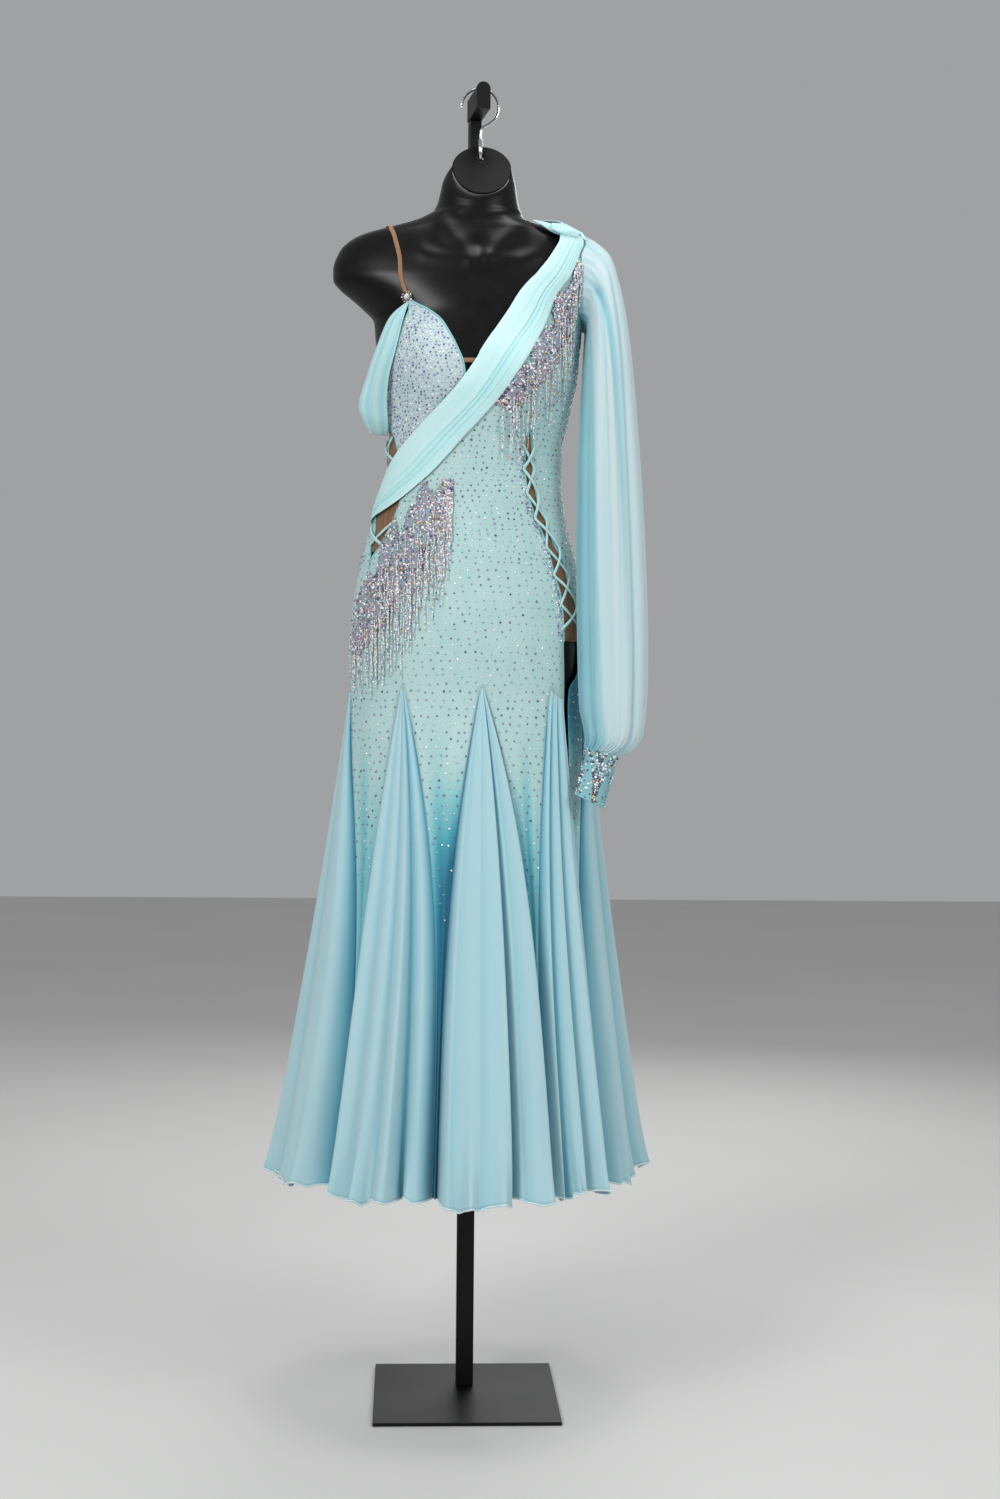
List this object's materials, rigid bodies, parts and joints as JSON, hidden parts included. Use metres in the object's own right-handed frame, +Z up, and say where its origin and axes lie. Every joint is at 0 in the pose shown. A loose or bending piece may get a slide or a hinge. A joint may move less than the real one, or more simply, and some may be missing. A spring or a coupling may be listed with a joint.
{
  "type": "ballroom gown on a torso form and stand",
  "caption": "Long one-sleeved ballroom gown with a pleated sash and godet skirt, on a hanging torso form hooked on a height-adjustable stand.",
  "frame": {"origin": "centre of the base plate's underside", "axes": "+Z up, front towards -Y, +X towards the wearer's left side"},
  "size_m": [0.547, 0.5198, 1.873],
  "materials": {
    "stretch": "matte stretch mesh with crystals",
    "chiffon": "soft chiffon",
    "tan_mesh": "fine mesh",
    "elastic": "woven elastic",
    "crystal": "cut crystals and beads",
    "form": "gloss",
    "steel": "satin black",
    "chrome": "polished"
  },
  "bodies": {
    "root": {"base_plate": "steel", "lower_post": "steel", "upper_post": "steel", "arm": "steel", "arm_tongue": "steel", "hook": "chrome", "neck_cap": "form", "torso_form": "form", "front_panel": "stretch", "back_panel": "stretch", "right_cup": "stretch", "left_cuff": "stretch", "left_cord_over": "stretch", "left_cord_under": "stretch", "right_upper_cord_over": "stretch", "right_upper_cord_under": "stretch", "right_lower_cord_over": "stretch", "right_lower_cord_under": "stretch", "godet_1": "chiffon", "godet_2": "chiffon", "godet_3": "chiffon", "godet_4": "chiffon", "godet_5": "chiffon", "godet_6": "chiffon", "godet_7": "chiffon", "godet_8": "chiffon", "godet_9": "chiffon", "sash": "chiffon", "shoulder_loop": "chiffon", "left_sleeve": "chiffon", "right_armlet": "chiffon", "left_insert": "tan_mesh", "right_insert": "tan_mesh", "right_strap": "elastic", "bridge_elastic": "elastic", "jewel": "crystal", "hip_fringe": "crystal", "bust_fringe": "crystal"}
  },
  "joints": []
}
